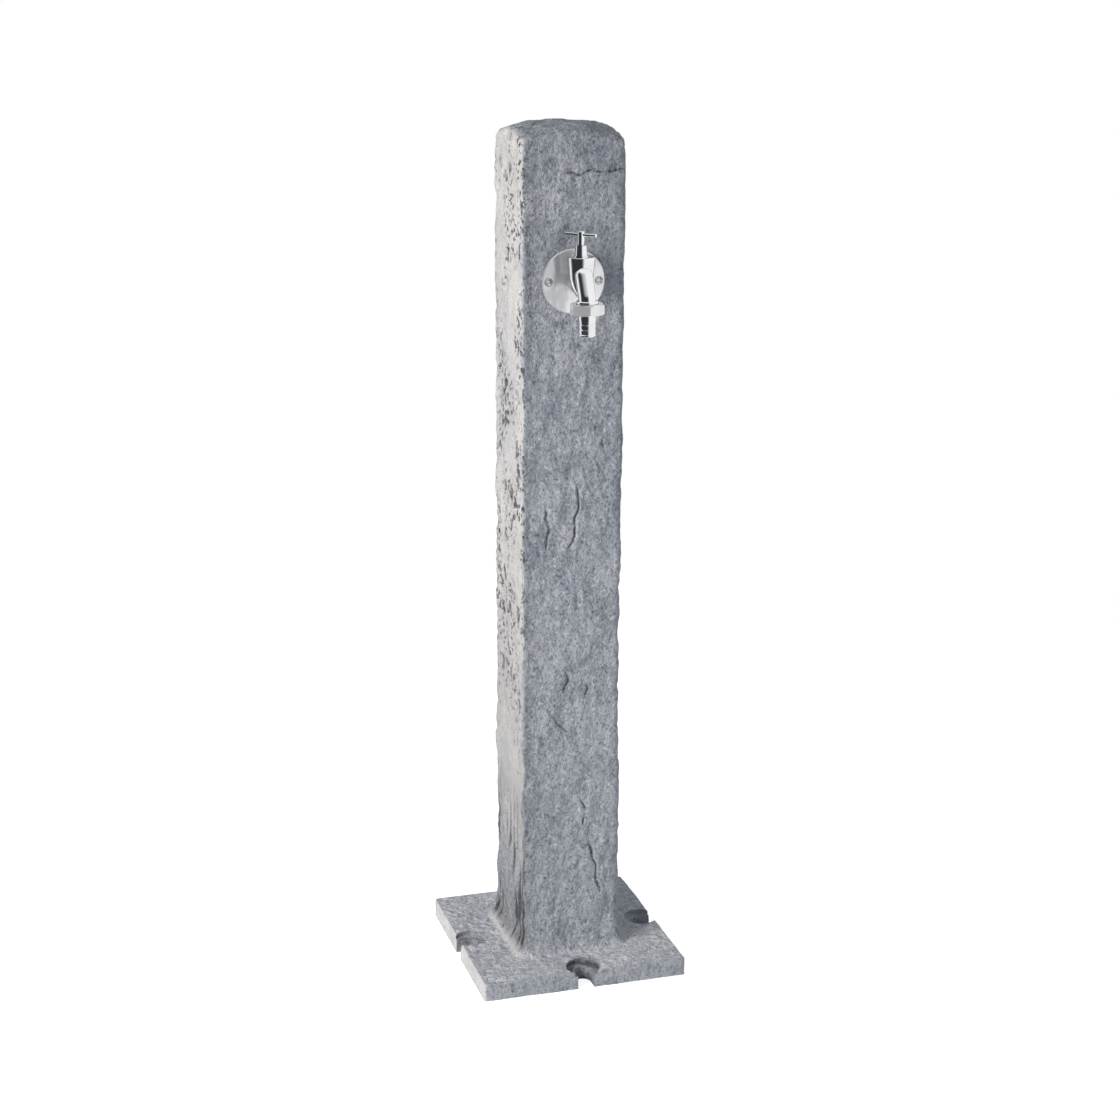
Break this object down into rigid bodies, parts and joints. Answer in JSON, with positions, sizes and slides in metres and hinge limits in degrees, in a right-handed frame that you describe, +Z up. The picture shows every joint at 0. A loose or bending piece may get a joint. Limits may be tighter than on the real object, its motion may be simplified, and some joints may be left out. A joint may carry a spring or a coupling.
{
  "type": "garden standpipe",
  "caption": "Garden standpipe: hollow granite-look column on a square foot, with a chrome T-bar tap and hose tail on a steel wall plate.",
  "frame": {"origin": "on the ground in the middle of the square foot, where the supply comes up into the column", "axes": "+Z up along the column, -Y the front with the tap, +X to the right seen from the front"},
  "size_m": [0.248, 0.2583, 0.9999],
  "materials": {
    "granite_cast": "rough cast granite look, blue-grey with pale and dark speckle, pits and hairline cracks",
    "brushed_plate": "brushed stainless steel, satin, bevelled rim",
    "chrome": "polished chrome plating over brass",
    "fastener_steel": "stainless steel, turned",
    "zinc_plate": "galvanised sheet, matt zinc",
    "brass": "machined brass, slightly dulled",
    "copper_pipe": "drawn copper pipe, half hard",
    "black_rubber": "black rubber, matt",
    "fibre_ring": "red vulcanised fibre",
    "grey_plastic": "grey moulded plastic, matt"
  },
  "bodies": {
    "standpipe": {"column": "granite_cast", "foot": "granite_cast", "rosette": "brushed_plate", "rosette_gasket": "black_rubber", "rosette_screws": "fastener_steel", "valve_body": "chrome", "bonnet": "chrome", "bonnet_gasket": "fibre_ring", "backing_plate": "zinc_plate", "wall_elbow": "brass", "elbow_screws": "fastener_steel", "elbow_seal": "fibre_ring", "riser_pipe": "copper_pipe", "upper_compression_nut": "brass", "upper_olive": "brass", "lower_compression_nut": "brass", "lower_olive": "brass", "supply_nipple": "brass", "pipe_clips": "grey_plastic", "pipe_clip_screws": "fastener_steel"},
    "spindle_group": {"spindle": "chrome", "spindle_o_rings": "black_rubber", "spindle_circlip": "fastener_steel", "handle_bar": "chrome"},
    "piston_group": {"valve_piston": "brass", "valve_washer": "black_rubber", "washer_screw": "brass"},
    "tail_group": {"hose_tail": "chrome", "hose_tail_washer": "black_rubber"},
    "nut_group": {"union_nut": "chrome"}
  },
  "joints": [
    {"name": "spindle_turn", "type": "hinge", "parent": "standpipe", "child": "spindle_group", "pos_m": [-0.002, -0.0905, 0.829], "axis": [0, 0, 1], "range_deg": [0, 540]},
    {"name": "piston_lift", "type": "slide", "parent": "standpipe", "child": "piston_group", "axis": [0, 0, 1], "range_m": [0, 0.0045]},
    {"name": "hose_union_drop", "type": "slide", "parent": "standpipe", "child": "tail_group", "axis": [0, 0, -1], "range_m": [0, 0.00544]},
    {"name": "union_nut_turn", "type": "hinge", "parent": "tail_group", "child": "nut_group", "pos_m": [-0.002, -0.1145, 0.8067], "axis": [0, 0, -1], "range_deg": [0, 1080]}
  ],
  "couplings": [
    {"joint": "piston_lift", "follows": "spindle_turn", "m_per_rad": 0.00047746},
    {"joint": "union_nut_turn", "follows": "hose_union_drop", "rad_per_m": 3463.7}
  ]
}
